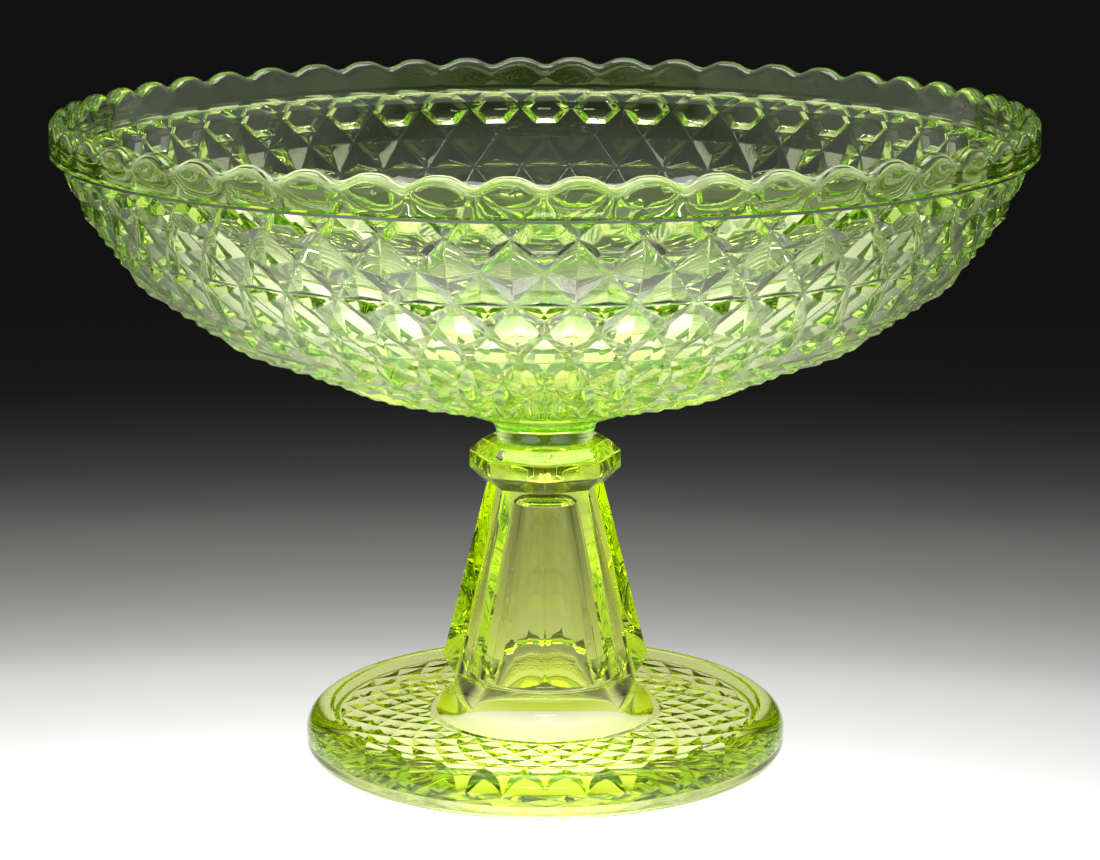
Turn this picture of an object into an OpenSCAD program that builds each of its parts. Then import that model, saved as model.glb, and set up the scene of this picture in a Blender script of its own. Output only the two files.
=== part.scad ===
// Footed pressed-glass dish: a wide bowl with a diamond-cut wall and a scalloped rim, joined by a
// short neck to a stand made of an eight-sided collar, an eight-panel hollow stem and a round foot.
// Units are millimetres, +Z is up, and the foot's ring rests on z = 0 around the axis.

/* [Bowl] */
// Outer diameter of the rim band
rim_d = 240; // [232:1:248]
// Height of the bowl's wall, from the neck to the underside of the rim band
wall_h = 66.5; // [62:0.5:70]
// Thickness of the wall, from the cut points to the smooth inside
wall_t = 6.5; // [5.5:0.25:8]
// Number of scallops, and of columns in the cut pattern
columns = 50; // [44:2:56]
// Number of rows of kites below the row of hexagons
tiers = 4; // [3:1:4]
// Length of the first row, measured along the wall
tier_len = 15.8; // [14.6:0.2:16.4]
// How much longer each row is than the one above it, halved
tier_grow = 2.6; // [2:0.1:2.8]
// Depth of the grooves between the cut cells
relief = 2.6; // [1.5:0.1:3]

/* [Rim] */
// Height of the plain rim band, up to the tops of the scallops
band_h = 10; // [8:0.5:14]
// Thickness of the rim band
band_t = 5; // [4:0.25:6]
// Height of a scallop above the dip beside it
scallop_h = 2; // [1:0.1:3]

/* [Neck] */
// Radius of the neck where it stands on the collar
neck_r = 12; // [11:0.5:13]
// Height of the neck
neck_h = 6; // [5:0.5:8]
// Radius of the neck where it meets the bowl
neck_top_r = 15.5; // [14:0.5:17]

/* [Stand] */
// Radius over the corners of the collar
collar_r = 19; // [18:0.5:21]
// Height of the collar, both bevels included
collar_h = 11; // [10:0.5:13]
// Height of the stem, from the foot's plinth to the collar
stem_h = 48.5; // [42:0.5:56]
// Radius over the corners of the stem at its widest
stem_r = 26; // [24:0.5:27]
// Radius over the corners of the stem under the collar
stem_top_r = 14.5; // [13:0.5:15]
// Radius of the stem's hollow at the plinth
hollow_r = 13.2; // [11:0.2:14]
// Radius of the stem's hollow near its closed top end
hollow_top_r = 6; // [4:0.5:7]

/* [Foot] */
// Outer diameter of the foot
foot_d = 121; // [116:1:128]
// Thickness of the foot at its edge
foot_t = 11.5; // [10:0.5:13]
// Radius of the round plinth under the stem
plinth_r = 22.8; // [22:0.2:24]
// Height of the plinth's top above the table
plinth_z = 20.5; // [18:0.5:22]
// Height of the hollow under the foot
recess_h = 2.2; // [1.6:0.2:4]
// Number of ribs pressed into the foot's underside
ribs = 24; // [16:8:32]
// Depth of the ribs
rib_depth = 0.9; // [0.5:0.1:1.2]

/* [Hidden] */
bowl_green = [0.76, 0.90, 0.42, 0.75];
stand_yellow = [0.80, 0.88, 0.22, 0.75];
collar_z = plinth_z + stem_h;           // underside of the collar
neck_z = collar_z + collar_h;           // underside of the neck
bowl_z = neck_z + neck_h;               // underside of the bowl
band_z = bowl_z + wall_h;               // underside of the rim band
rim_z = band_z + band_h;                // tops of the scallops
rim_r = rim_d / 2;
lip = 2.4;                              // overhang of the rim band beyond the wall
corner = 8;                             // sides of the collar and the stem
hex_cut = 0.56;                         // share of a half row kept above and below a hexagon's middle
hex_corner = 0.5 * (1 - hex_cut);       // a hexagon's corners, in columns from its middle
hex_flat = 0.5;                         // size of the flat on a hexagon, as a share of its outline
first_row = 5.1;                        // from the wall's top edge down to the hexagons' middles
rim_steps = 6;                          // points along one scallop
steps = 64;                             // pieces the wall's curve is measured in
dome_r = 27;                            // where the foot's recess starts to rise into the stem's hollow
top_solid = 5;                          // solid glass between the hollow's end and the collar
cone_taper = 1;                         // how much wider the stem's cone is than its rounded outline

// ---- the bowl's wall: one curve from the neck to the rim band, [radius, height] ----
wall = [
  [neck_top_r, bowl_z],
  [rim_r - 22, bowl_z + wall_h * 0.29],
  [rim_r - 9, bowl_z + wall_h * 0.66],
  [rim_r - lip, band_z]
];
function curve(t) = pow(1 - t, 3) * wall[0] + 3 * pow(1 - t, 2) * t * wall[1]
  + 3 * (1 - t) * t * t * wall[2] + pow(t, 3) * wall[3];
function along(t) = 3 * pow(1 - t, 2) * (wall[1] - wall[0]) + 6 * (1 - t) * t * (wall[2] - wall[1])
  + 3 * t * t * (wall[3] - wall[2]);
function inward(t) = let (d = along(t)) [-d[1], d[0]] / norm(d);
// length along the curve paired with its parameter, so that rows can be spaced evenly
function measured(i = 0, s = 0) = i == steps ? [[s, 1]]
  : concat([[s, i / steps]], measured(i + 1, s + norm(curve((i + 1) / steps) - curve(i / steps))));
ruler = measured();
wall_len = ruler[steps][0];
// the length at which row j lies; rows get longer downwards
function row(j) = wall_len - first_row - j * tier_len - (j > 0 ? j * j * tier_grow : 0);
function on_wall(s, depth) = let (t = lookup(s, ruler)) curve(t) + depth * inward(t);
// grooves get shallower towards the neck, as the cells get smaller
function groove(s) = relief * min(1, 0.7 + on_wall(s, 0)[0] / 250);

// ---- points: u counts columns round the axis, from a hexagon's middle at the front ----
function turn(rz, u) = let (a = u * 360 / columns - 90) [rz[0] * cos(a), rz[0] * sin(a), rz[1]];
function low(s, u) = turn(on_wall(s, groove(s)), u);
function peak(s, u, share = 1) = turn(on_wall(s, groove(s) * (1 - share)), u);

// ---- faces: each is a list of three points, clockwise from outside ----
function fan(middle, ring) = [for (i = [0:len(ring) - 1]) [middle, ring[i], ring[(i + 1) % len(ring)]]];
// the first kites share their upper sides with the hexagons, so those sides have one more point
function kite(j, u) = let (
  cut = row(hex_cut / 2), reach = 0.5 - hex_corner,
  right = j == 0 ? [low(cut, u + reach)] : [], left = j == 0 ? [low(cut, u - reach)] : [])
  fan(peak(row(j + 0.5), u), concat(
    [low(row(j), u)], right, [low(row(j + 0.5), u + 0.5), low(row(j + 1), u), low(row(j + 0.5), u - 0.5)],
    left));
function up_cell(j, u) = fan(peak(row(j - 1 / 6), u, 0.5),
  [low(row(j - 0.5), u), low(row(j), u + 0.5), low(row(j), u - 0.5)]);
function down_cell(j, u) = fan(peak(row(j + 1 / 6), u, 0.5),
  [low(row(j), u - 0.5), low(row(j), u + 0.5), low(row(j + 0.5), u)]);
function hex_ring(u, size, raised) = [
  for (c = [[0, -0.5], [-hex_cut, -hex_corner], [-hex_cut, hex_corner], [0, 0.5], [hex_cut, hex_corner],
            [hex_cut, -hex_corner]])
    let (s = row(c[0] * size / 2), v = u + c[1] * size) raised ? peak(s, v) : low(s, v)];
function hexagon(u) = let (outer = hex_ring(u, 1, false), inner = hex_ring(u, hex_flat, true)) concat(
  fan(peak(row(0), u), inner),
  [for (i = [0:5]) each [[outer[i], outer[(i + 1) % 6], inner[i]],
                         [outer[(i + 1) % 6], inner[(i + 1) % 6], inner[i]]]]);
function under_hexagon(u) = fan(peak(row(0.36), u, 0.35),
  [low(row(hex_cut / 2), u - hex_corner), low(row(hex_cut / 2), u + hex_corner), low(row(0.5), u)]);
function beside_hexagon(u) = fan(peak(row(-0.18), u, 0.5),
  [low(row(-hex_cut / 2), u - 0.5 + hex_corner), low(row(-hex_cut / 2), u + 0.5 - hex_corner),
   low(row(0), u)]);
// a strip between two rings that both have points at the places listed in us
function strip(upper, lower, us) = [
  for (i = [0:len(us) - 2])
    let (a = turn(upper, us[i]), b = turn(upper, us[i + 1]), c = turn(lower, us[i + 1]),
         d = turn(lower, us[i]))
      each [[a, b, c], [a, c, d]]];

// ---- the rim band, whose rings follow the scallops ----
function dip(u) = scallop_h * pow(pow(cos(180 * u), 2), 1.6);
rim_half = band_t / 2;
function over_rim(a) = [rim_r - rim_half + rim_half * cos(a), rim_z - rim_half + rim_half * sin(a)];
function rim_pt(rz, u) = turn([rz[0], rz[1] - dip(u)], u);
function rim_place(k, i) = k + i / rim_steps - 0.5;
function rim_strip(a, b, k) = [
  for (i = [0:rim_steps - 1])
    let (u = rim_place(k, i), v = rim_place(k, i + 1))
      each [[rim_pt(a, u), rim_pt(a, v), rim_pt(b, v)], [rim_pt(a, u), rim_pt(b, v), rim_pt(b, u)]]];
// joins a rim ring to a plain ring with two points a column, at w columns from the middle
function rim_to_ring(a, ring, w, k, out) = let (
  h = rim_steps / 2,
  left = turn(ring, k - w), right = turn(ring, k + w), next = turn(ring, k + 1 - w),
  faces = concat(
    [for (i = [0:h - 1]) [rim_pt(a, rim_place(k, i)), rim_pt(a, rim_place(k, i + 1)), left]],
    [for (i = [h:rim_steps - 1]) [rim_pt(a, rim_place(k, i)), rim_pt(a, rim_place(k, i + 1)), right]],
    [[rim_pt(a, k), right, left], [rim_pt(a, k + 0.5), next, right]]))
  [for (f = faces) out ? f : [f[0], f[2], f[1]]];

// ---- the smooth inside, from the rim down to the middle of the bowl's floor ----
inner_rings = 8;
floor_z = bowl_z + wall_t + 1.5;
band_foot = [rim_r - rim_half - wall_t + 0.4, band_z];
function inner_rz(i) = let (t = 1 - i / inner_rings, p = curve(t) + wall_t * inward(t))
  [p[0], max(p[1], floor_z)];
inner = [for (i = [0:inner_rings]) let (p = inner_rz(i)) if (p[0] > 20) p];
inner_w = 0.25;
// rings of the plain glass between the last row and the neck
plain_rings = 4;
function plain(i) = let (left = 1 - i / plain_rings)
  on_wall(row(tiers) * left, groove(row(tiers)) * left);

module glass_skin(faces) {
  points = [for (f = faces) each f];
  polyhedron(points, [for (i = [0:len(faces) - 1]) [3 * i, 3 * i + 1, 3 * i + 2]]);
}

module bowl() {
  w = hex_corner;
  edge = on_wall(row(-hex_cut / 2), groove(row(-hex_cut / 2)));
  under = [rim_r - lip - 0.4, band_z - 0.2];
  band_low = [rim_r, band_z + 0.8];
  round_top = [for (a = [0, 50, 90, 130, 180]) over_rim(a)];
  faces = [for (k = [0:columns - 1]) each concat(
    // the cut pattern
    [for (j = [0:tiers - 1]) each kite(j, k + 0.5)],
    [for (j = [1:tiers]) each up_cell(j, k)],
    [for (j = [1:tiers - 1]) each down_cell(j, k)],
    hexagon(k), under_hexagon(k), beside_hexagon(k + 0.5),
    // the underside of the rim band
    strip(under, edge, [k - w, k + w, k + 1 - w]),
    strip(band_low, under, [k - w, k + w, k + 1 - w]),
    // the band's outside, its rounded top and its inside
    rim_to_ring(round_top[0], band_low, w, k, true),
    [for (i = [0:3]) each rim_strip(round_top[i + 1], round_top[i], k)],
    rim_to_ring(round_top[4], band_foot, inner_w, k, false),
    // the smooth inside
    strip(inner[0], band_foot, [k - inner_w, k + inner_w, k + 1 - inner_w]),
    [for (i = [0:len(inner) - 2])
      each strip(inner[i + 1], inner[i], [k - inner_w, k + inner_w, k + 1 - inner_w])],
    [[[0, 0, floor_z], turn(inner[len(inner) - 1], k + inner_w), turn(inner[len(inner) - 1], k - inner_w)],
     [[0, 0, floor_z], turn(inner[len(inner) - 1], k + 1 - inner_w),
      turn(inner[len(inner) - 1], k + inner_w)]],
    // the plain glass round the neck and the flat that stands on it
    [for (i = [0:plain_rings - 1]) each strip(plain(i), plain(i + 1), [k - 0.5, k + 0.5])],
    [[[0, 0, bowl_z], turn(wall[0], k - 0.5), turn(wall[0], k + 0.5)]])];
  color(bowl_green) glass_skin(faces);
}

// Short neck gathered between the collar and the bowl, flared where it meets the bowl
module neck() {
  flare = neck_top_r - neck_r;
  side = [for (a = [0:10:90]) [neck_top_r - flare * cos(a), neck_h - flare + flare * sin(a)]];
  color(bowl_green) translate([0, 0, neck_z]) rotate_extrude($fn = 96)
    polygon(concat([[0, 0], [neck_r, 0]], side, [[0, neck_h]]));
}

// Eight-sided collar with a bevel above and below
module collar() {
  bevel_h = collar_h * 0.34;
  top_h = collar_h * 0.27;
  color(stand_yellow) translate([0, 0, collar_z]) {
    cylinder(h = bevel_h, r1 = stem_top_r + 0.6, r2 = collar_r, $fn = corner);
    translate([0, 0, bevel_h]) cylinder(h = collar_h - bevel_h - top_h, r = collar_r, $fn = corner);
    translate([0, 0, collar_h - top_h])
      cylinder(h = top_h, r1 = collar_r, r2 = collar_r - 3.3, $fn = corner);
  }
}

// Eight-panel stem, its panels rounded into arches above the plinth, hollow from below
module stem() {
  shoulder = 5.5;
  cap = hollow_top_r * 0.5;             // rounding of the hollow's closed end
  cone_h = stem_h - top_solid - cap;
  outline = concat(
    [[0, 0], [plinth_r, 0]],
    [for (a = [-70:14:0]) [stem_r - shoulder + shoulder * cos(a), shoulder + shoulder * sin(a)]],
    [[stem_r, stem_h], [0, stem_h]]);
  color(stand_yellow) translate([0, 0, plinth_z]) difference() {
    intersection() {
      cylinder(h = stem_h, r1 = stem_r + cone_taper, r2 = stem_top_r, $fn = corner);
      rotate_extrude($fn = 96) polygon(outline);
    }
    rotate_extrude($fn = 96)
      polygon([[0, -1], [hollow_r, -1], [hollow_r, 0], [hollow_top_r, cone_h],
               [hollow_top_r * 0.6, cone_h + cap * 0.8], [0, cone_h + cap]]);
  }
}

// Round foot on a ring, with a plinth for the stem and ribs pressed into its shallow underside
module foot() {
  foot_r = foot_d / 2;
  ring_r = foot_r - 7.2;                // inner edge of the ring that the dish rests on
  shoulder = 5.5;                       // rounding of the upper edge
  toe = 3.5;                            // rounding of the lower edge
  slope = 1.4;                          // width of the recess's sloping side
  cove_r = 4.5;
  cove_z = foot_t + 1.2;
  dome = [[dome_r, recess_h], [hollow_r + 3, recess_h + 6], [hollow_r, plinth_z]];
  mouth = [for (t = [0:0.125:1])
    pow(1 - t, 2) * dome[0] + 2 * t * (1 - t) * dome[1] + pow(t, 2) * dome[2]];
  cove = [for (a = [0:15:90])
    [plinth_r + cove_r * (1 - cos(a)), cove_z + cove_r * (1 - sin(a))]];
  top_side = [for (a = [90:-15:0])
    [foot_r - shoulder + shoulder * cos(a), foot_t - shoulder + shoulder * sin(a)]];
  toe_side = [for (a = [0:-15:-90]) [foot_r - toe + toe * cos(a), toe + toe * sin(a)]];
  rib_start = dome_r + 2;
  rib_len = ring_r - slope - 2 - rib_start;
  color(stand_yellow) difference() {
    rotate_extrude($fn = 128) polygon(concat(
      mouth, [[plinth_r, plinth_z]], cove,
      [[ring_r + 0.6, foot_t], [ring_r + 1, foot_t - 0.5]],
      top_side, toe_side, [[ring_r, 0], [ring_r - slope, recess_h]]));
    for (k = [0:ribs - 1]) rotate([0, 0, (k + 0.5) * 360 / ribs])
      translate([rib_start, 0, recess_h]) rotate([0, 90, 0])
        cylinder(h = rib_len, r = rib_depth, $fn = 4);
  }
}

bowl();
neck();
collar();
stem();
foot();
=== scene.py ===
import math
import bpy
import numpy as np
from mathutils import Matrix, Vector


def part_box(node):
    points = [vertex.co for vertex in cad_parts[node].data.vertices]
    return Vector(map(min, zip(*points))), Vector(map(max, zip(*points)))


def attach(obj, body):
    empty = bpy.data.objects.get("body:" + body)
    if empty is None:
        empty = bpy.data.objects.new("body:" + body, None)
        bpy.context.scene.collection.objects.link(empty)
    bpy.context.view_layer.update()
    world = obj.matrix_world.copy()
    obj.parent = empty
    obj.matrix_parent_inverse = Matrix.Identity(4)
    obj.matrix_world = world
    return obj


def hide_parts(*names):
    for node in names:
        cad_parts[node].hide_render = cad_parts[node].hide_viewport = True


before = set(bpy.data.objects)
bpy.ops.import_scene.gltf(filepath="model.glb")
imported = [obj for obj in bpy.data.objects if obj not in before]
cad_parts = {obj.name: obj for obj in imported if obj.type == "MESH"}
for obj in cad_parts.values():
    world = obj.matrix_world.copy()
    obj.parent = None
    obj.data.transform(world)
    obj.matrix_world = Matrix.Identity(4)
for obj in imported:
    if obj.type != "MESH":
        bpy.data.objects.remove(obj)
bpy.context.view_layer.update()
print("frame loaded:", sorted(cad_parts))

# heights and radii that the glass has to keep, all from the CAD nodes
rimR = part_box("bowl")[1].x
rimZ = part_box("bowl")[1].z
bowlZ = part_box("neck")[1].z
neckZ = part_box("neck")[0].z
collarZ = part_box("collar")[0].z
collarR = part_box("collar")[1].x
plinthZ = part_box("foot")[1].z
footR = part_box("foot")[1].x

scene = bpy.context.scene
weld = 0.00001        # points closer than this become one


# ---- small helpers ----
def clearSelection():
    if bpy.context.object and bpy.context.object.mode != "OBJECT":
        bpy.ops.object.mode_set(mode="OBJECT")
    bpy.ops.object.select_all(action="DESELECT")


def makeActive(obj):
    clearSelection()
    obj.select_set(True)
    bpy.context.view_layer.objects.active = obj


def pickFaces(obj, test):
    # selects the faces whose middle and normal pass the test, and leaves the object in edit mode
    bpy.ops.object.mode_set(mode="OBJECT")
    mesh = obj.data
    for v in mesh.vertices:
        v.select = False
    for e in mesh.edges:
        e.select = False
    for f in mesh.polygons:
        f.select = bool(test(f))
    bpy.ops.object.mode_set(mode="EDIT")
    bpy.ops.mesh.select_mode(type="FACE")


def applyModifier(obj, kind, **settings):
    makeActive(obj)
    mod = obj.modifiers.new(kind.lower(), kind)
    for key, value in settings.items():
        setattr(mod, key, value)
    bpy.ops.object.modifier_apply(modifier=mod.name)


def spinProfile(name, points, steps):
    # draws the points as one chain of edges in the XZ plane and spins it round the Z axis
    clearSelection()
    bpy.ops.mesh.primitive_plane_add(size=0.001, location=(0, 0, 0))
    obj = bpy.context.object
    obj.name = name
    bpy.ops.object.mode_set(mode="EDIT")
    bpy.ops.mesh.select_mode(type="VERT")
    bpy.ops.mesh.select_all(action="SELECT")
    bpy.ops.mesh.merge(type="CENTER")
    bpy.ops.transform.translate(value=(points[0][0], 0, points[0][1]))
    for a, b in zip(points, points[1:]):
        bpy.ops.mesh.extrude_region_move(TRANSFORM_OT_translate={"value": (b[0] - a[0], 0, b[1] - a[1])})
    bpy.ops.mesh.select_all(action="SELECT")
    bpy.ops.mesh.spin(steps=steps, angle=math.tau, center=(0, 0, 0), axis=(0, 0, 1))
    bpy.ops.mesh.select_all(action="SELECT")
    bpy.ops.mesh.remove_doubles(threshold=0.000004)
    bpy.ops.mesh.normals_make_consistent(inside=False)
    bpy.ops.object.mode_set(mode="OBJECT")
    return obj


def arcPoints(cx, cz, r, start, end, steps):
    return [(cx + r * math.cos(a), cz + r * math.sin(a))
            for a in np.radians(np.linspace(start, end, steps + 1))]


# ---- camera ----
camera = {"distance": 0.7963, "side": 0.0012, "height": 0.2595, "pitch": 12.563, "lens": 107.07}
camData = bpy.data.cameras.new("camera")
camData.lens = camera["lens"]
camData.sensor_width = 36
camObj = bpy.data.objects.new("camera", camData)
camObj.location = (camera["side"], -camera["distance"], camera["height"])
camObj.rotation_euler = (math.radians(90 - camera["pitch"]), 0, 0)
scene.collection.objects.link(camObj)
scene.camera = camObj
print("camera set")

# ---- the bowl ----
bowl = {
    "columns": 50,        # scallops, and columns of cut cells
    "tiers": 4,           # rows of kites under the hexagons
    "tierLen": 0.0158,    # length of the first row along the wall
    "tierGrow": 0.0026,   # half of what each row is longer than the one above
    "firstRow": 0.0051,   # from the wall's top edge to the hexagons' middles
    "relief": 0.0026,     # depth of the grooves
    "triangleH": 0.72,    # height of the triangles, as a share of the relief
    "cornerH": 0.38,      # and of the small ones beside the hexagons
    "hexCut": 0.56,       # share of a row that a hexagon is high
    "hexSide": 0.14,      # width of a hexagon's sloping sides, as a share of a row
    "edgeW": 0.00035,     # rounding of every ridge and groove
    "edgeSegments": 3,
    "bandH": 0.010,       # the rim band, its thickness and its overhang beyond the wall
    "bandT": 0.005,
    "lip": 0.0024,
    "scallopH": 0.002,
    "wallT": 0.0065,
    "neckTopR": 0.0155,
    "neckR": 0.012,
    "ringStep": 0.0032,   # spacing and height of the faint rings on the plain glass by the neck
    "ringH": 0.00012,
}
bandZ = rimZ - bowl["bandH"]
wallH = bandZ - bowlZ
wallCurve = [np.array(p) for p in (
    (bowl["neckTopR"], bowlZ),
    (rimR - 0.022, bowlZ + wallH * 0.29),
    (rimR - 0.009, bowlZ + wallH * 0.66),
    (rimR - bowl["lip"], bandZ))]


def wallPoint(t):
    a, b, c, d = wallCurve
    return (1 - t) ** 3 * a + 3 * (1 - t) ** 2 * t * b + 3 * (1 - t) * t * t * c + t ** 3 * d


def wallInward(t):
    a, b, c, d = wallCurve
    way = 3 * (1 - t) ** 2 * (b - a) + 6 * (1 - t) * t * (c - b) + 3 * t * t * (d - c)
    return np.array((-way[1], way[0])) / np.hypot(*way)


rulerT = np.linspace(0, 1, 65)
rulerPts = np.array([wallPoint(t) for t in rulerT])
rulerS = np.concatenate([[0], np.cumsum(np.hypot(*np.diff(rulerPts, axis=0).T))])
wallLen = rulerS[-1]
colW = math.tau * rimR / bowl["columns"]      # width of a column while the pattern lies flat


def onWall(s, depth):
    t = float(np.interp(s, rulerS, rulerT))
    return wallPoint(t) + depth * wallInward(t)


def grooveDepth(s):
    return bowl["relief"] * min(1, 0.70 + onWall(s, 0)[0] / 0.25)


def rowY(j):
    # rows of the flat pattern run down from the hexagons' middles at y = 0
    return -j * bowl["tierLen"]


def bisectAt(y, clearAbove=False, clearBelow=False):
    bpy.ops.mesh.bisect(plane_co=(0, y, 0), plane_no=(0, 1, 0), clear_inner=clearBelow,
                        clear_outer=clearAbove, threshold=0.000002)


def makeFlatPattern():
    tier, tiers = bowl["tierLen"], bowl["tiers"]
    clearSelection()
    # one diamond, a column wide and a row high
    bpy.ops.mesh.primitive_circle_add(vertices=4, radius=1, fill_type="NGON", location=(0, 0, 0))
    obj = bpy.context.object
    obj.name = "cutPattern"
    bpy.ops.object.mode_set(mode="EDIT")
    bpy.ops.mesh.select_all(action="SELECT")
    bpy.ops.transform.resize(value=(colW / 2, tier / 2, 1))
    bpy.ops.mesh.duplicate_move(TRANSFORM_OT_translate={"value": (colW / 2, tier / 2, 0)})
    bpy.ops.mesh.duplicate_move(TRANSFORM_OT_translate={"value": (colW / 2, -tier / 2, 0)})
    bpy.ops.object.mode_set(mode="OBJECT")
    applyModifier(obj, "ARRAY", count=tiers + 1, use_relative_offset=False, use_constant_offset=True,
                  constant_offset_displace=(0, -tier, 0), use_merge_vertices=True, merge_threshold=weld)
    bpy.ops.object.mode_set(mode="EDIT")
    bpy.ops.mesh.select_all(action="SELECT")
    bpy.ops.mesh.remove_doubles(threshold=weld)
    # rows of grooves: every second diamond is cut across its middle
    bpy.ops.mesh.select_all(action="SELECT")
    bisectAt(bowl["hexCut"] * tier / 2, clearAbove=True)
    for j in range(1, tiers):
        bpy.ops.mesh.select_all(action="SELECT")
        bisectAt(rowY(j))
    bpy.ops.mesh.select_all(action="SELECT")
    bisectAt(rowY(tiers), clearBelow=True)
    # the hexagons' lower sides, cut in both neighbours so that the kites between them get the corners too
    pickFaces(obj, lambda f: abs(f.center.x - colW / 2) > colW * 0.1 and f.center.y > -tier * 0.3)
    bisectAt(-bowl["hexCut"] * tier / 2)
    pickFaces(obj, lambda f: f.center.x > colW * 0.6)
    bpy.ops.mesh.delete(type="FACE")
    return obj


def shapeCells(obj):
    relief, tier = bowl["relief"], bowl["tierLen"]
    # the kites: four facets that meet in a point
    pickFaces(obj, lambda f: abs(f.center.x - colW / 2) < colW * 0.1 and f.center.y < -0.2 * tier)
    bpy.ops.mesh.poke(offset=relief, center_mode="BOUNDS")
    # the triangles between them are lower, and lower still beside the hexagons
    pickFaces(obj, lambda f: f.normal.z > 0.999 and len(f.vertices) == 3 and f.center.y < -tier * 0.6)
    bpy.ops.mesh.poke(offset=relief * bowl["triangleH"])
    pickFaces(obj, lambda f: f.normal.z > 0.999 and len(f.vertices) < 6)
    bpy.ops.mesh.poke(offset=relief * bowl["cornerH"])
    # the hexagon: sloping sides up to a flat middle
    pickFaces(obj, lambda f: f.normal.z > 0.999 and len(f.vertices) == 6)
    bpy.ops.mesh.inset(thickness=tier * bowl["hexSide"], depth=0)
    bpy.ops.transform.translate(value=(0, 0, relief))
    bpy.ops.object.mode_set(mode="OBJECT")


def rowS(j):
    # length along the wall at which row j lies: the rows get longer downwards
    return wallLen - bowl["firstRow"] - j * bowl["tierLen"] - max(j, 0) ** 2 * bowl["tierGrow"]


def wrapPattern(obj):
    mesh = obj.data
    for v in mesh.vertices:
        x, y, z = v.co
        s = rowS(-y / bowl["tierLen"])
        r, h = onWall(s, grooveDepth(s) * (1 - z / bowl["relief"]))
        a = x / colW * math.tau / bowl["columns"] - math.pi / 2
        v.co = (r * math.cos(a), r * math.sin(a), h)
    mesh.update()


def makeWall():
    wall = makeFlatPattern()
    shapeCells(wall)
    # two spare columns, so that the edges at the joint are rounded like the others before they go
    applyModifier(wall, "ARRAY", count=bowl["columns"] + 2, use_relative_offset=False,
                  use_constant_offset=True, constant_offset_displace=(colW, 0, 0),
                  use_merge_vertices=True, merge_threshold=weld)
    applyModifier(wall, "BEVEL", width=bowl["edgeW"], segments=bowl["edgeSegments"], limit_method="ANGLE",
                  angle_limit=math.radians(8))
    first = colW * 0.613
    pickFaces(wall, lambda f: not first <= f.center.x < first + colW * bowl["columns"])
    bpy.ops.mesh.delete(type="FACE")
    bpy.ops.object.mode_set(mode="OBJECT")
    wrapPattern(wall)
    makeActive(wall)
    bpy.ops.object.mode_set(mode="EDIT")
    bpy.ops.mesh.select_mode(type="VERT")
    bpy.ops.mesh.select_all(action="SELECT")
    bpy.ops.mesh.remove_doubles(threshold=weld)
    bpy.ops.mesh.normals_make_consistent(inside=False)
    bpy.ops.object.mode_set(mode="OBJECT")
    return wall


def innerWall(count):
    # the smooth inside, from the band's foot down to the edge of the floor
    floorZ = bowlZ + bowl["wallT"] + 0.0015
    pts = []
    for i in range(1, count + 1):
        t = 1 - i / count
        r, z = wallPoint(t) + bowl["wallT"] * wallInward(t)
        if z < floorZ or r < 0.02:
            break
        pts.append((r, z))
    lastR = pts[-1][0]
    return pts + [(lastR * 0.72, floorZ + 0.0004), (lastR * 0.4, floorZ), (0, floorZ)]


def makeRimAndInside():
    half = bowl["bandT"] / 2
    edgeS = rowS(-bowl["hexCut"] / 2)
    edge = onWall(edgeS, grooveDepth(edgeS))
    points = [(float(edge[0]), float(edge[1])), (rimR - bowl["lip"] - 0.0004, bandZ - 0.0002),
              (rimR - 0.0006, bandZ + 0.0002), (rimR, bandZ + 0.0010), (rimR, bandZ + 0.0040)]
    points += arcPoints(rimR - half, rimZ - half, half, 0, 180, 16)
    points += [(rimR - 2 * half - 0.0008, bandZ + 0.003), (rimR - 2 * half - 0.0014, bandZ + 0.0008)]
    points += innerWall(20)
    obj = spinProfile("rimAndInside", points, bowl["columns"] * 12)
    # scallops: the band's upper part dips at the middle of each column
    mesh = obj.data
    for v in mesh.vertices:
        r = math.hypot(v.co.x, v.co.y)
        if r > rimR - 2 * half - 0.0005 and v.co.z > rimZ - half - 0.0001:
            u = (math.atan2(v.co.y, v.co.x) + math.pi / 2) / math.tau * bowl["columns"]
            v.co.z -= bowl["scallopH"] * abs(math.cos(math.pi * u)) ** 3.2
    return obj


def makeNeckSkin():
    # plain glass from the last row to the neck, with faint rings, and then the neck itself
    flare = bowl["neckTopR"] - bowl["neckR"]
    endS = rowS(bowl["tiers"])
    points = []
    for s in np.arange(endS - 0.002, 0.0005, -bowl["ringStep"] / 4):
        depth = grooveDepth(endS) * s / endS + bowl["ringH"] * math.sin(s / bowl["ringStep"] * math.tau)
        r, z = onWall(s, depth)
        points.append((float(r), float(z)))
    points += [(bowl["neckR"] + flare * (1 - math.sin(a)), bowlZ - (bowlZ - neckZ) * (1 - math.cos(a)))
               for a in np.radians(np.linspace(0, 80, 8))]
    points += [(bowl["neckR"], neckZ + 0.0002), (0, neckZ + 0.0002)]
    return spinProfile("neckSkin", points, bowl["columns"] * 3)


def joinPieces(name, pieces):
    makeActive(pieces[0])
    for p in pieces[1:]:
        p.select_set(True)
    bpy.ops.object.join()
    obj = bpy.context.object
    obj.name = name
    return obj


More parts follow.
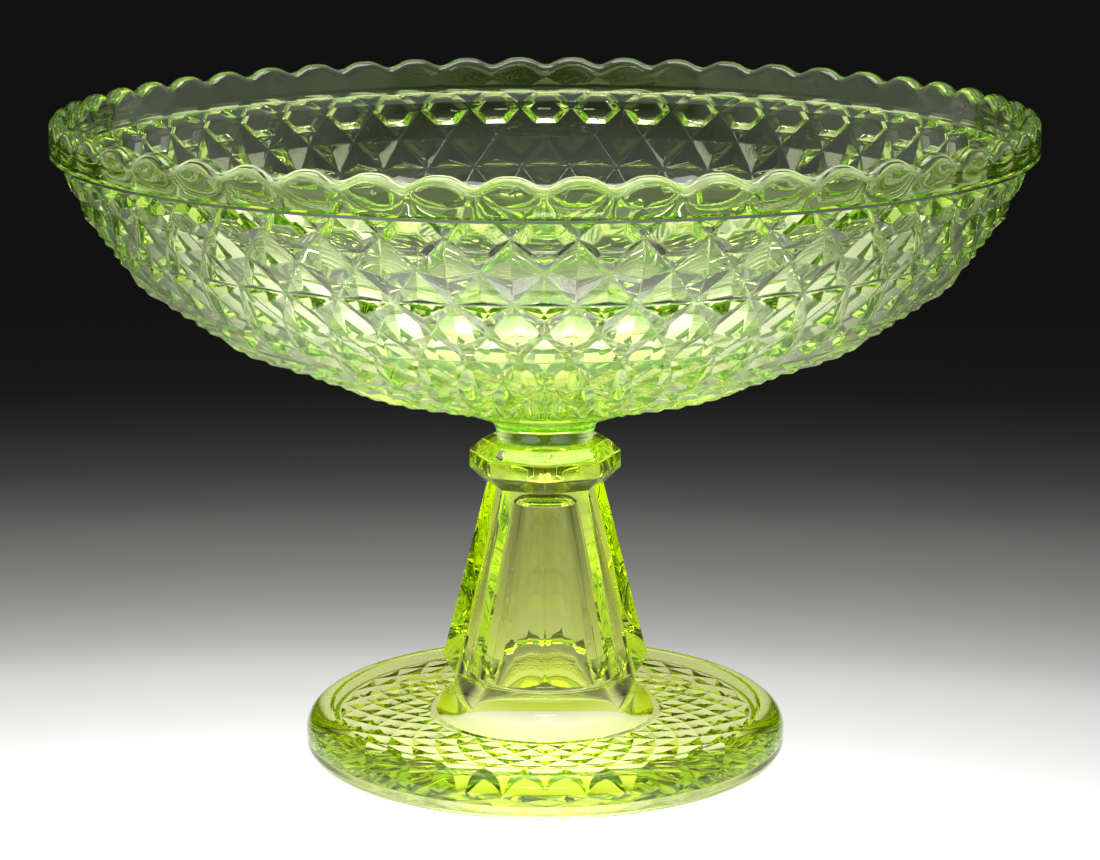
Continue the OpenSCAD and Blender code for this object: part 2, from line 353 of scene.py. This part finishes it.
def openEdges(obj, zLow, zHigh):
    # selects boundary edges that lie between two heights
    bpy.ops.object.mode_set(mode="EDIT")
    bpy.ops.mesh.select_mode(type="EDGE")
    bpy.ops.mesh.select_all(action="DESELECT")
    bpy.ops.mesh.select_non_manifold(extend=False, use_wire=False, use_multi_face=False,
                                     use_non_contiguous=False, use_verts=False, use_boundary=True)
    bpy.ops.object.mode_set(mode="OBJECT")
    mesh = obj.data
    count = 0
    for e in mesh.edges:
        z = [mesh.vertices[i].co.z for i in e.vertices]
        if e.select and not (min(z) > zLow and max(z) < zHigh):
            e.select = False
        count += e.select
    for v in mesh.vertices:
        v.select = False
    for e in mesh.edges:
        if e.select:
            for i in e.vertices:
                mesh.vertices[i].select = True
    bpy.ops.object.mode_set(mode="EDIT")
    return count


def makeBowl():
    wall = makeWall()
    rim = makeRimAndInside()
    neck = makeNeckSkin()
    obj = joinPieces("bowl_glass", [wall, rim, neck])
    print("open edges at the rim:", openEdges(obj, bandZ - 0.01, rimZ))
    bpy.ops.mesh.bridge_edge_loops()
    print("open edges at the neck:", openEdges(obj, bowlZ - 0.01, bandZ - 0.02))
    bpy.ops.mesh.bridge_edge_loops()
    bpy.ops.mesh.select_all(action="SELECT")
    bpy.ops.mesh.remove_doubles(threshold=0.000004)
    bpy.ops.mesh.normals_make_consistent(inside=False)
    print("open edges left:", openEdges(obj, -1, 1))
    bpy.ops.object.mode_set(mode="OBJECT")
    makeActive(obj)
    bpy.ops.object.shade_smooth_by_angle(angle=math.radians(14))
    return obj


bowlObj = makeBowl()
print("bowl made:", len(bowlObj.data.polygons), "faces")

# ---- the stand ----
stand = {
    "sides": 8,
    "stemR": 0.027,         # radius over the stem's corners at the plinth
    "stemTopR": 0.0145,
    "shoulderR": 0.026,     # the round that the panels' arches are cut by
    "shoulder": 0.0055,
    "edge": 0.0005,         # rounding of the stem's corners
    "collarEdge": 0.0004,
    "ringWidth": 0.0072,    # from the foot's edge to the hollow under it
    "plinthR": 0.0228,
    "footT": 0.0115,
    "edgeR": 0.0055,        # rounding of the foot's upper and lower edge
    "toeR": 0.0035,
    "recess": 0.0022,       # height of the hollow under the foot
    "domeR": 0.027,         # where the recess starts to rise towards the stem
    "flutes": 24,           # facets of the hollow inside the stem
    "hollowR": 0.0130,
    "hollowTopR": 0.0060,
    "plateOuterR": 0.0515,
    "plateInnerR": 0.0285,
    "plateColumns": 30,
    "plateRows": 3,
    "plateRelief": 0.0006,
}


def raiseRings(name, sides, rings):
    # a flat polygon, extruded and resized from ring to ring
    clearSelection()
    z0, r0 = rings[0]
    bpy.ops.mesh.primitive_circle_add(vertices=sides, radius=r0, fill_type="NGON", location=(0, 0, z0))
    obj = bpy.context.object
    obj.name = name
    bpy.ops.object.transform_apply(location=True, rotation=True, scale=True)
    bpy.ops.object.mode_set(mode="EDIT")
    bpy.ops.mesh.select_mode(type="FACE")
    bpy.ops.mesh.select_all(action="SELECT")
    for (za, ra), (zb, rb) in zip(rings, rings[1:]):
        bpy.ops.mesh.extrude_region_move(TRANSFORM_OT_translate={"value": (0, 0, zb - za)})
        bpy.ops.transform.resize(value=(rb / ra, rb / ra, 1), center_override=(0, 0, zb))
    bpy.ops.mesh.select_all(action="SELECT")
    bpy.ops.mesh.normals_make_consistent(inside=False)
    bpy.ops.object.mode_set(mode="OBJECT")
    return obj


def booleanWith(obj, other, operation):
    applyModifier(obj, "BOOLEAN", operation=operation, object=other, solver="EXACT")
    bpy.data.objects.remove(other)


def roundEdges(obj, width, segments, angle):
    applyModifier(obj, "BEVEL", width=width, segments=segments, limit_method="ANGLE",
                  angle_limit=math.radians(angle))


def makeStem():
    stem = raiseRings("stem", stand["sides"], [(plinthZ - 0.0005, stand["stemR"]),
                                               (collarZ + 0.0005, stand["stemTopR"])])
    roundEdges(stem, stand["edge"], 3, 30)
    sh = stand["shoulder"]
    bullet = [(0, plinthZ - 0.0004), (stand["plinthR"] - 0.0004, plinthZ - 0.0004)]
    bullet += arcPoints(stand["shoulderR"] - sh, plinthZ + sh, sh, -70, 0, 12)
    bullet += [(stand["shoulderR"], collarZ + 0.001), (0, collarZ + 0.001)]
    body = spinProfile("bullet", bullet, 180)
    booleanWith(stem, body, "INTERSECT")
    return stem


def makeCollar():
    height = neckZ - collarZ
    collar = raiseRings("collar", stand["sides"], [
        (collarZ, stand["stemTopR"] + 0.0006), (collarZ + height * 0.34, collarR),
        (neckZ - height * 0.27, collarR), (neckZ, collarR - 0.0033)])
    roundEdges(collar, stand["collarEdge"], 3, 20)
    return collar


def makePlatePattern():
    # rows of small diamonds pressed into the underside, made flat and then wrapped round the axis
    columns, rows = stand["plateColumns"], stand["plateRows"]
    length = (stand["plateOuterR"] - stand["plateInnerR"]) / rows
    width = math.tau * stand["plateOuterR"] / columns
    clearSelection()
    bpy.ops.mesh.primitive_circle_add(vertices=4, radius=1, fill_type="NGON", location=(0, 0, 0))
    obj = bpy.context.object
    obj.name = "plate"
    bpy.ops.object.mode_set(mode="EDIT")
    bpy.ops.mesh.select_all(action="SELECT")
    bpy.ops.transform.resize(value=(width / 2, length / 2, 1))
    bpy.ops.mesh.duplicate_move(TRANSFORM_OT_translate={"value": (width / 2, -length / 2, 0)})
    bpy.ops.object.mode_set(mode="OBJECT")
    applyModifier(obj, "ARRAY", count=rows + 1, use_relative_offset=False, use_constant_offset=True,
                  constant_offset_displace=(0, -length, 0), use_merge_vertices=True, merge_threshold=weld)
    bpy.ops.object.mode_set(mode="EDIT")
    bpy.ops.mesh.select_all(action="SELECT")
    bpy.ops.mesh.remove_doubles(threshold=weld)
    bpy.ops.mesh.select_all(action="SELECT")
    bisectAt(0, clearAbove=True)
    bpy.ops.mesh.select_all(action="SELECT")
    bisectAt(-rows * length, clearBelow=True)
    # edges of the ring are cut fine enough to follow the circle
    bpy.ops.mesh.select_mode(type="EDGE")
    bpy.ops.object.mode_set(mode="OBJECT")
    mesh = obj.data
    for f in mesh.polygons:
        f.select = False
    for v in mesh.vertices:
        v.select = min(abs(v.co.y), abs(v.co.y + rows * length)) < 0.00001
    for e in mesh.edges:
        e.select = all(mesh.vertices[i].select for i in e.vertices)
    bpy.ops.object.mode_set(mode="EDIT")
    bpy.ops.mesh.subdivide(number_cuts=5)
    pickFaces(obj, lambda f: len(f.vertices) == 4)
    bpy.ops.mesh.poke(offset=stand["plateRelief"], center_mode="BOUNDS")
    pickFaces(obj, lambda f: len(f.vertices) > 4)
    bpy.ops.mesh.poke(offset=stand["plateRelief"] * 0.6)
    bpy.ops.object.mode_set(mode="OBJECT")
    applyModifier(obj, "ARRAY", count=columns, use_relative_offset=False, use_constant_offset=True,
                  constant_offset_displace=(width, 0, 0), use_merge_vertices=True, merge_threshold=weld)
    mesh = obj.data
    for v in mesh.vertices:
        a = v.co.x / width * math.tau / columns
        r = stand["plateOuterR"] + v.co.y
        v.co = (r * math.cos(a), r * math.sin(a), stand["recess"] - v.co.z)
    makeActive(obj)
    bpy.ops.object.mode_set(mode="EDIT")
    bpy.ops.mesh.select_all(action="SELECT")
    bpy.ops.mesh.remove_doubles(threshold=weld)
    bpy.ops.object.mode_set(mode="OBJECT")
    return obj


def makeFoot():
    edgeR, toeR, t, rec = stand["edgeR"], stand["toeR"], stand["footT"], stand["recess"]
    ringR = footR - stand["ringWidth"]
    coveR, coveH = 0.0042, plinthZ - t - 0.0024
    top = [(0, plinthZ), (stand["plinthR"], plinthZ), (stand["plinthR"], plinthZ - 0.0012)]
    top += [(stand["plinthR"] + coveR - coveR * math.cos(a), plinthZ - 0.0012 - coveH * math.sin(a))
            for a in np.radians(np.linspace(6, 90, 12))]
    top += [(ringR + 0.0002, t), (ringR + 0.0007, t - 0.0004), (ringR + 0.0012, t)]
    top += arcPoints(footR - edgeR, t - edgeR, edgeR, 90, 0, 12)
    top += arcPoints(footR - toeR, toeR, toeR, 0, -90, 12)
    top += [(ringR, 0), (ringR - 0.0008, rec * 0.7), (ringR - 0.0014, rec), (stand["plateOuterR"], rec)]
    outer = spinProfile("foot", top, stand["plateColumns"] * 6)
    inner = spinProfile("footCeiling", [(stand["plateInnerR"], rec), (0, rec)], stand["plateColumns"] * 6)
    foot = joinPieces("foot", [outer, inner, makePlatePattern()])
    bpy.ops.object.mode_set(mode="EDIT")
    bpy.ops.mesh.select_mode(type="VERT")
    bpy.ops.mesh.select_all(action="SELECT")
    bpy.ops.mesh.remove_doubles(threshold=0.00002)
    bpy.ops.mesh.normals_make_consistent(inside=False)
    bpy.ops.object.mode_set(mode="OBJECT")
    return foot


def makeHollow():
    rec, dome, low = stand["recess"], stand["domeR"], plinthZ + 0.0045
    a, b, c = (dome, rec), (0.0165, rec + 0.005), (stand["hollowR"], low)
    curve = [tuple((1 - t) ** 2 * a[i] + 2 * (1 - t) * t * b[i] + t * t * c[i] for i in (0, 1))
             for t in np.linspace(0, 1, 24)]
    points = [(0, rec - 0.001), (dome, rec - 0.001)] + curve + [(0, low)]
    mouth = spinProfile("mouth", points, 180)
    topZ = collarZ - 0.0055
    core = raiseRings("core", stand["flutes"], [
        (low - 0.002, stand["hollowR"] + 0.0003), (topZ, stand["hollowTopR"]),
        (topZ + 0.0008, stand["hollowTopR"] * 0.86), (topZ + 0.0012, stand["hollowTopR"] * 0.5)])
    booleanWith(core, mouth, "UNION")
    return core


def makeStand():
    foot = makeFoot()
    booleanWith(foot, makeStem(), "UNION")
    booleanWith(foot, makeCollar(), "UNION")
    booleanWith(foot, makeHollow(), "DIFFERENCE")
    foot.name = "stand_glass"
    makeActive(foot)
    bpy.ops.object.mode_set(mode="EDIT")
    bpy.ops.mesh.select_mode(type="VERT")
    bpy.ops.mesh.select_all(action="SELECT")
    bpy.ops.mesh.remove_doubles(threshold=0.000005)
    bpy.ops.mesh.dissolve_degenerate(threshold=0.000002)
    bpy.ops.mesh.select_all(action="SELECT")
    bpy.ops.mesh.normals_make_consistent(inside=False)
    bpy.ops.object.mode_set(mode="OBJECT")
    bpy.ops.object.shade_smooth_by_angle(angle=math.radians(17))
    return foot


standObj = makeStand()
print("stand made:", len(standObj.data.polygons), "faces")


# ---- glass ----
def makeFlawAndPaintedLightGroup():
    # what pressed glass has everywhere: slow waves, small seeds, and dull spots where it is handled; also painted
    # light, an emission strongest low down that stands in for light from below
    group = bpy.data.node_groups.new("pressedFlawsAndPaintedLight", "ShaderNodeTree")
    for name, value in (("Wave Scale", 40), ("Seed Scale", 160), ("Wear Top", 0.001),
                        ("Painted Light Low", 0.09), ("Painted Light High", 0.14), ("Painted Light Rest", 0.15)):
        socket = group.interface.new_socket(name, in_out="INPUT", socket_type="NodeSocketFloat")
        socket.default_value = value
    for name in ("Height", "Tint", "Dull", "Painted Light"):
        group.interface.new_socket(name, in_out="OUTPUT", socket_type="NodeSocketFloat")
    nodes, links = group.nodes, group.links
    given = nodes.new("NodeGroupInput")
    result = nodes.new("NodeGroupOutput")
    coord = nodes.new("ShaderNodeTexCoord")
    wave = nodes.new("ShaderNodeTexNoise")
    wave.inputs["Detail"].default_value = 1.5
    links.new(coord.outputs["Object"], wave.inputs["Vector"])
    links.new(given.outputs["Wave Scale"], wave.inputs["Scale"])
    seeds = nodes.new("ShaderNodeTexVoronoi")
    links.new(coord.outputs["Object"], seeds.inputs["Vector"])
    links.new(given.outputs["Seed Scale"], seeds.inputs["Scale"])
    spot = nodes.new("ShaderNodeMapRange")      # a small dent in the middle of each cell
    spot.inputs["From Max"].default_value = 0.10
    spot.inputs["To Min"].default_value = -0.10
    spot.inputs["To Max"].default_value = 0.0
    links.new(seeds.outputs["Distance"], spot.inputs["Value"])
    total = nodes.new("ShaderNodeMath")
    total.operation = "ADD"
    links.new(wave.outputs["Fac"], total.inputs[0])
    links.new(spot.outputs["Result"], total.inputs[1])
    links.new(total.outputs["Value"], result.inputs["Height"])
    tint = nodes.new("ShaderNodeTexNoise")
    tint.inputs["Scale"].default_value = 14
    links.new(coord.outputs["Object"], tint.inputs["Vector"])
    links.new(tint.outputs["Fac"], result.inputs["Tint"])
    # painted light: an emission that stands in for the light from below, full low down and from a given height on
    # only a share of it
    paintedLightMask = nodes.new("ShaderNodeMapRange")
    paintedLightMask.interpolation_type = "SMOOTHSTEP"
    paintedLightMask.inputs["To Min"].default_value = 1
    links.new(given.outputs["Painted Light Low"], paintedLightMask.inputs["From Min"])
    links.new(given.outputs["Painted Light High"], paintedLightMask.inputs["From Max"])
    links.new(given.outputs["Painted Light Rest"], paintedLightMask.inputs["To Max"])
    links.new(paintedLightMask.outputs["Result"], result.inputs["Painted Light"])
    # wear: full at the height of the table, gone a little above it, broken up by fine noise
    place = nodes.new("ShaderNodeSeparateXYZ")
    links.new(coord.outputs["Object"], place.inputs["Vector"])
    low = nodes.new("ShaderNodeMapRange")
    low.inputs["To Min"].default_value = 1
    low.inputs["To Max"].default_value = 0
    links.new(place.outputs["Z"], low.inputs["Value"])
    links.new(place.outputs["Z"], paintedLightMask.inputs["Value"])
    links.new(given.outputs["Wear Top"], low.inputs["From Max"])
    grain = nodes.new("ShaderNodeTexNoise")
    grain.inputs["Scale"].default_value = 900
    links.new(coord.outputs["Object"], grain.inputs["Vector"])
    dull = nodes.new("ShaderNodeMath")
    dull.operation = "MULTIPLY"
    links.new(low.outputs["Result"], dull.inputs[0])
    links.new(grain.outputs["Fac"], dull.inputs[1])
    links.new(dull.outputs["Value"], result.inputs["Dull"])
    return group


def makeGlass(look, flawsAndPaintedLight):
    mat = bpy.data.materials.new(look["name"])
    mat.use_nodes = True
    tree = mat.node_tree
    tree.nodes.clear()
    out = tree.nodes.new("ShaderNodeOutputMaterial")
    shader = tree.nodes.new("ShaderNodeBsdfPrincipled")
    shader.inputs["IOR"].default_value = 1.51
    shader.inputs["Transmission Weight"].default_value = 1
    shader.inputs["Metallic"].default_value = 0
    vol = tree.nodes.new("ShaderNodeVolumeAbsorption")
    vol.inputs["Color"].default_value = (*look["tint"], 1)
    vol.inputs["Density"].default_value = look["density"]
    tree.links.new(shader.outputs["BSDF"], out.inputs["Surface"])
    tree.links.new(vol.outputs["Volume"], out.inputs["Volume"])
    flawAndLightNode = tree.nodes.new("ShaderNodeGroup")
    flawAndLightNode.node_tree = flawsAndPaintedLight
    flawAndLightNode.inputs["Wave Scale"].default_value = look["waves"]
    for name, value in zip(("Painted Light Low", "Painted Light High", "Painted Light Rest"), look["paintedLightFade"]):
        flawAndLightNode.inputs[name].default_value = value
    # painted light: the mask sets an emission that stands in for light from below
    paintedLight = tree.nodes.new("ShaderNodeMix")
    paintedLight.data_type = "RGBA"
    paintedLight.inputs["A"].default_value = (0, 0, 0, 1)
    paintedLight.inputs["B"].default_value = (*look["paintedLight"], 1)
    tree.links.new(flawAndLightNode.outputs["Painted Light"], paintedLight.inputs["Factor"])
    tree.links.new(paintedLight.outputs["Result"], shader.inputs["Emission Color"])
    shader.inputs["Emission Strength"].default_value = look["paintedLightStrength"]
    bump = tree.nodes.new("ShaderNodeBump")
    bump.inputs["Distance"].default_value = look["waveH"]
    bump.inputs["Strength"].default_value = 1
    tree.links.new(flawAndLightNode.outputs["Height"], bump.inputs["Height"])
    tree.links.new(bump.outputs["Normal"], shader.inputs["Normal"])
    shade = tree.nodes.new("ShaderNodeMix")
    shade.data_type = "RGBA"
    shade.inputs["A"].default_value = (1, 1, 1, 1)
    shade.inputs["B"].default_value = (*look["streak"], 1)
    tree.links.new(flawAndLightNode.outputs["Tint"], shade.inputs["Factor"])
    tree.links.new(shade.outputs["Result"], shader.inputs["Base Color"])
    dull = tree.nodes.new("ShaderNodeMapRange")
    dull.inputs["To Max"].default_value = look["dull"]
    tree.links.new(flawAndLightNode.outputs["Dull"], dull.inputs["Value"])
    tree.links.new(dull.outputs["Result"], shader.inputs["Roughness"])
    return mat


flawsAndPaintedLight = makeFlawAndPaintedLightGroup()
bowlMat = makeGlass({
    "name": "bowl_glass",
    "tint": (0.79, 0.955, 0.12),        # colour let through; the density sets how fast the rest goes
    "density": 55,
    "waves": 45,
    "waveH": 0.0003,
    "streak": (0.95, 0.985, 0.90),
    "dull": 0.0,
    "paintedLight": (0.50, 0.92, 0.10),
    "paintedLightStrength": 0.050,
    "paintedLightFade": (0.086, 0.120, 0.14),   # painted light from below: full up to the first height, from the second on only this share
}, flawsAndPaintedLight)
standMat = makeGlass({
    "name": "stand_glass",
    "tint": (0.90, 0.972, 0.0),
    "density": 58,
    "waves": 60,
    "waveH": 0.00012,
    "streak": (0.97, 0.985, 0.88),
    "dull": 0.25,
    # painted light: a faint emission, the same all over the stand
    "paintedLight": (0.85, 0.95, 0.02),
    "paintedLightStrength": 0.012,
    "paintedLightFade": (0.01, 0.08, 1.0),
}, flawsAndPaintedLight)
for obj, mat in ((bowlObj, bowlMat), (standObj, standMat)):
    obj.data.materials.clear()
    obj.data.materials.append(mat)

# ---- stage ----
stage = {
    "radius": 4.0,
    "bright": 5.0,
    "poolAt": (0.02, 0.12, 0),      # moves the pool of light to the front and a little to the left
    "poolShape": (0.6, 1, 1),       # and makes it wider than deep
}
# the floor glows: a painted pool of light, bright by the glass and dark further off, that also lights the glass
clearSelection()
bpy.ops.mesh.primitive_circle_add(vertices=96, radius=stage["radius"], fill_type="NGON", location=(0, 0, -0.0004))
floor = bpy.context.object
floor.name = "floor"
floorMat = bpy.data.materials.new("floor")
floorMat.use_nodes = True
ft = floorMat.node_tree
ft.nodes.clear()
fOut = ft.nodes.new("ShaderNodeOutputMaterial")
fEmit = ft.nodes.new("ShaderNodeEmission")
fCoord = ft.nodes.new("ShaderNodeTexCoord")
fLen = ft.nodes.new("ShaderNodeVectorMath")
fLen.operation = "LENGTH"
fMap = ft.nodes.new("ShaderNodeMapping")
fMap.inputs["Location"].default_value = stage["poolAt"]
fMap.inputs["Scale"].default_value = stage["poolShape"]
fRamp = ft.nodes.new("ShaderNodeValToRGB")
ft.links.new(fCoord.outputs["Object"], fMap.inputs["Vector"])
ft.links.new(fMap.outputs["Vector"], fLen.inputs[0])
ft.links.new(fLen.outputs["Value"], fRamp.inputs["Fac"])
ft.links.new(fRamp.outputs["Color"], fEmit.inputs["Color"])
ft.links.new(fEmit.outputs["Emission"], fOut.inputs["Surface"])
fEmit.inputs["Strength"].default_value = stage["bright"]
# painted pool of light: the floor's emission against the distance from the middle of the pool
paintedPoolLevels = [(0.00, 0.60), (0.05, 0.52), (0.08, 0.36), (0.11, 0.23), (0.15, 0.175), (0.19, 0.135), (0.22, 0.09),
         (0.26, 0.059), (0.30, 0.040), (0.34, 0.029), (0.38, 0.017), (0.43, 0.0087), (0.50, 0.0040),
         (0.56, 0.0020), (0.75, 0.0012)]
ramp = fRamp.color_ramp
ramp.interpolation = "LINEAR"
while len(ramp.elements) < len(paintedPoolLevels):
    ramp.elements.new(0.5)
for el, (pos, g) in zip(ramp.elements, paintedPoolLevels):
    el.position = pos
    el.color = (g, g, g * 0.98, 1)
floor.data.materials.append(floorMat)

# a dark room with a soft bright ceiling and pale walls far to the left and right
room = {"dark": 0.006, "ceiling": 0.85, "walls": 0.75}
world = bpy.data.worlds.new("world")
scene.world = world
world.use_nodes = True
wt = world.node_tree
wCoord = wt.nodes.new("ShaderNodeTexCoord")
wAxes = wt.nodes.new("ShaderNodeSeparateXYZ")
wt.links.new(wCoord.outputs["Generated"], wAxes.inputs["Vector"])
wAside = wt.nodes.new("ShaderNodeMath")
wAside.operation = "ABSOLUTE"
wt.links.new(wAxes.outputs["X"], wAside.inputs[0])
wSum = wt.nodes.new("ShaderNodeMath")
wSum.operation = "MAXIMUM"
for socket, (source, start, end, level) in enumerate((
        (wAxes.outputs["Z"], 0.40, 0.90, room["ceiling"]),
        (wAside.outputs["Value"], 0.45, 0.85, room["walls"]))):
    wRange = wt.nodes.new("ShaderNodeMapRange")
    wRange.interpolation_type = "SMOOTHSTEP"
    wRange.inputs["From Min"].default_value = start
    wRange.inputs["From Max"].default_value = end
    wRange.inputs["To Min"].default_value = room["dark"]
    wRange.inputs["To Max"].default_value = level
    wt.links.new(source, wRange.inputs["Value"])
    wt.links.new(wRange.outputs["Result"], wSum.inputs[socket])
wt.links.new(wSum.outputs["Value"], wt.nodes["Background"].inputs["Color"])


softboxes = {
    "overheadBox": {"place": (0.0, 0.1, 1.3), "target": (0, 0, 0.1), "size": (1.2, 0.5), "power": 12},
    "frontBox": {"place": (0.0, -1.1, 0.85), "target": (0, 0, 0.12), "size": (0.5, 0.10), "power": 1.5},
}
for name, box in softboxes.items():
    data = bpy.data.lights.new(name, "AREA")
    data.shape = "RECTANGLE"
    data.size, data.size_y = box["size"]
    data.energy = box["power"]
    light = bpy.data.objects.new(name, data)
    light.location = box["place"]
    way = Vector(box["target"]) - Vector(box["place"])
    light.rotation_euler = way.to_track_quat("-Z", "Y").to_euler()
    scene.collection.objects.link(light)
print("stage set")

# ---- rendering limits that glass needs ----
scene.cycles.max_bounces = 24
scene.cycles.transmission_bounces = 24
scene.cycles.transparent_max_bounces = 12
scene.cycles.glossy_bounces = 8
scene.view_settings.view_transform = "Standard"

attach(bowlObj, "root")
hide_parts("bowl", "neck")
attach(standObj, "root")
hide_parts("collar", "stem", "foot")
